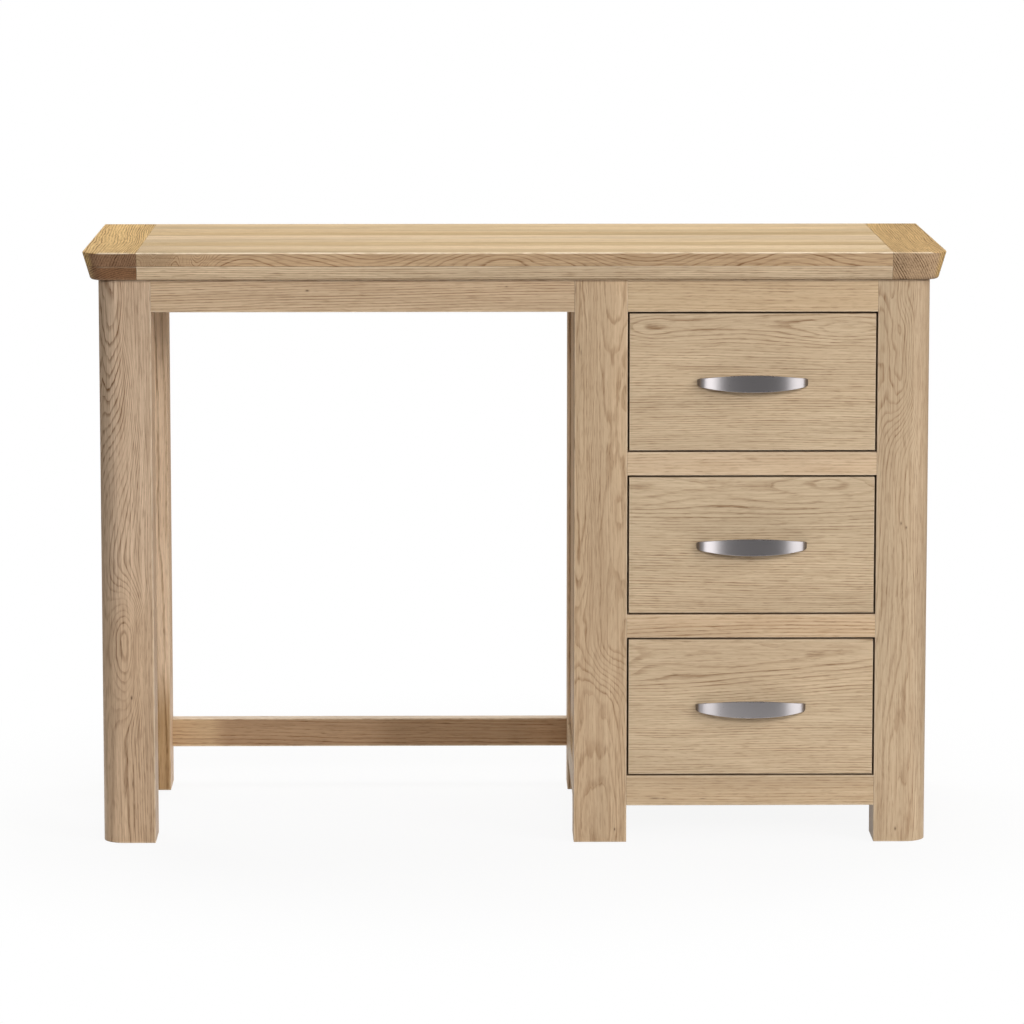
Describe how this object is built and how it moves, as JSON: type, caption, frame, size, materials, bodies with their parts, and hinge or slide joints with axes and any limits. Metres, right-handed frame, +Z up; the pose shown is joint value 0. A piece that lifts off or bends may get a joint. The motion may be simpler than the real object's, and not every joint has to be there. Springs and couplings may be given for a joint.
{
  "type": "dressing table",
  "caption": "Oak kneehole dressing table with square legs, a framed drawer pedestal on the right, dovetailed sliding drawers and bow handles.",
  "frame": {"origin": "on the floor, under the middle of the whole piece", "axes": "+Z up, -Y towards the person sitting at it, +X to the viewer's right, where the drawers are"},
  "size_m": [1.1, 0.4563, 0.765],
  "materials": {
    "oak_top": "satin lacquered oak, long grain",
    "oak_end": "satin lacquered oak, cross-laid ends",
    "oak_leg": "satin lacquered oak, upright grain",
    "oak_rail": "satin lacquered oak rails",
    "oak_panel": "satin lacquered oak panels",
    "oak_front": "satin lacquered oak drawer fronts",
    "drawer_wood": "sanded pale wood",
    "runner_wood": "bare waxed hardwood",
    "brushed_metal": "brushed satin",
    "screw_metal": "zinc plated"
  },
  "bodies": {
    "carcass": {"top_centre_panel": "oak_top", "top_end_left": "oak_end", "top_end_left_lower": "oak_end", "top_end_right": "oak_end", "top_front_lower_strip": "oak_rail", "top_back_lower_strip": "oak_rail", "leg_front_left": "oak_leg", "leg_front_middle": "oak_leg", "leg_front_right": "oak_leg", "leg_back_left": "oak_leg", "leg_back_middle": "oak_leg", "leg_back_right": "oak_leg", "kneehole_front_rail": "oak_rail", "kneehole_back_rail": "oak_rail", "left_side_rail": "oak_rail", "back_stretcher": "oak_rail", "pedestal_front_top_rail": "oak_rail", "pedestal_front_bottom_rail": "oak_rail", "drawer_divider_lower": "oak_rail", "drawer_divider_upper": "oak_rail", "pedestal_left_top_rail": "oak_rail", "pedestal_left_bottom_rail": "oak_rail", "pedestal_left_panel": "oak_panel", "pedestal_right_top_rail": "oak_rail", "pedestal_right_bottom_rail": "oak_rail", "pedestal_right_panel": "oak_panel", "pedestal_back_top_rail": "oak_rail", "pedestal_back_bottom_rail": "oak_rail", "pedestal_back_panel": "oak_panel", "upper_drawer_kicker": "runner_wood", "runner_lower_left": "runner_wood", "runner_lower_right": "runner_wood", "runner_middle_left": "runner_wood", "runner_middle_right": "runner_wood", "runner_upper_left": "runner_wood", "runner_upper_right": "runner_wood"},
    "drawer_lower": {"drawer_lower_front": "oak_front", "drawer_lower_side_left": "drawer_wood", "drawer_lower_side_right": "drawer_wood", "drawer_lower_back": "drawer_wood", "drawer_lower_bottom": "drawer_wood", "drawer_lower_handle": "brushed_metal", "drawer_lower_handle_screw_left": "screw_metal", "drawer_lower_handle_screw_right": "screw_metal"},
    "drawer_middle": {"drawer_middle_front": "oak_front", "drawer_middle_side_left": "drawer_wood", "drawer_middle_side_right": "drawer_wood", "drawer_middle_back": "drawer_wood", "drawer_middle_bottom": "drawer_wood", "drawer_middle_handle": "brushed_metal", "drawer_middle_handle_screw_left": "screw_metal", "drawer_middle_handle_screw_right": "screw_metal"},
    "drawer_upper": {"drawer_upper_front": "oak_front", "drawer_upper_side_left": "drawer_wood", "drawer_upper_side_right": "drawer_wood", "drawer_upper_back": "drawer_wood", "drawer_upper_bottom": "drawer_wood", "drawer_upper_handle": "brushed_metal", "drawer_upper_handle_screw_left": "screw_metal", "drawer_upper_handle_screw_right": "screw_metal"}
  },
  "joints": [
    {"name": "drawer_lower_slide", "type": "slide", "parent": "carcass", "child": "drawer_lower", "axis": [0, -1, 0], "range_m": [0, 0.3]},
    {"name": "drawer_middle_slide", "type": "slide", "parent": "carcass", "child": "drawer_middle", "axis": [0, -1, 0], "range_m": [0, 0.3]},
    {"name": "drawer_upper_slide", "type": "slide", "parent": "carcass", "child": "drawer_upper", "axis": [0, -1, 0], "range_m": [0, 0.3]}
  ]
}
